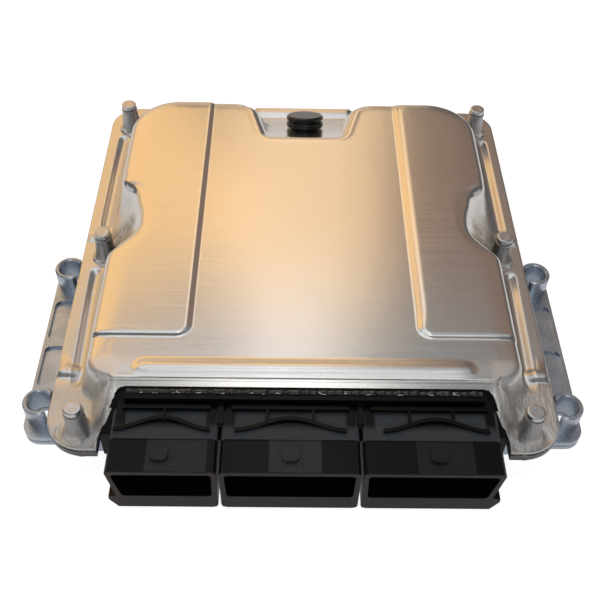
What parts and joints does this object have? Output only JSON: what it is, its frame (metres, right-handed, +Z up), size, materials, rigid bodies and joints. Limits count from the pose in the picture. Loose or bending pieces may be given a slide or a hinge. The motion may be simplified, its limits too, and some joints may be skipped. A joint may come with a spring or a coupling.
{
  "type": "engine control unit",
  "caption": "Engine control unit: drawn sheet cover riveted on a cast base with side mounting ears, a black multi-bay connector header at the front and a vent plug in a ramped notch.",
  "frame": {"origin": "middle of the whole unit's box, on its underside", "axes": "+X to the right seen from the connector side, +Y to the back where the vent is, +Z up"},
  "size_m": [0.192, 0.196, 0.0286],
  "materials": {
    "cast_aluminium": "fine cast, satin",
    "drawn_aluminium": "bright rolled sheet with a fine grain",
    "rivet_steel": "satin",
    "plated_steel": "satin",
    "black_plastic": "moulded, semi-matt",
    "vent_plastic": "moulded, semi-gloss",
    "sealant": "glossy silicone",
    "tinned_contact": "bright tin",
    "board_laminate": "solder mask",
    "chip_resin": "moulded resin",
    "can_aluminium": "drawn can",
    "ferrite": "sintered",
    "film_case": "moulded case",
    "ceramic": "fired ceramic",
    "thermal_pad": "soft filled silicone",
    "membrane": "porous film"
  },
  "bodies": {
    "root": {"base_casting": "cast_aluminium", "circuit_board": "board_laminate", "board_screws": "plated_steel", "thermal_pads": "thermal_pad", "microcontroller": "chip_resin", "flash_memory": "chip_resin", "power_supply_chip": "chip_resin", "injector_drivers": "chip_resin", "driver_transistors": "chip_resin", "bus_transceivers": "chip_resin", "boost_capacitors": "can_aluminium", "boost_coil": "ferrite", "filter_capacitors": "film_case", "shunt_resistors": "ceramic", "crystal": "can_aluminium", "pressure_sensor": "chip_resin", "connector_header": "black_plastic", "left_terminals": "tinned_contact", "middle_terminals": "tinned_contact", "right_terminals": "tinned_contact", "flange_seal": "sealant", "header_seal": "sealant", "cover": "drawn_aluminium", "cover_rivets": "rivet_steel", "vent_body": "vent_plastic", "vent_cap": "vent_plastic", "vent_membrane": "membrane", "vent_seal": "sealant"}
  },
  "joints": []
}
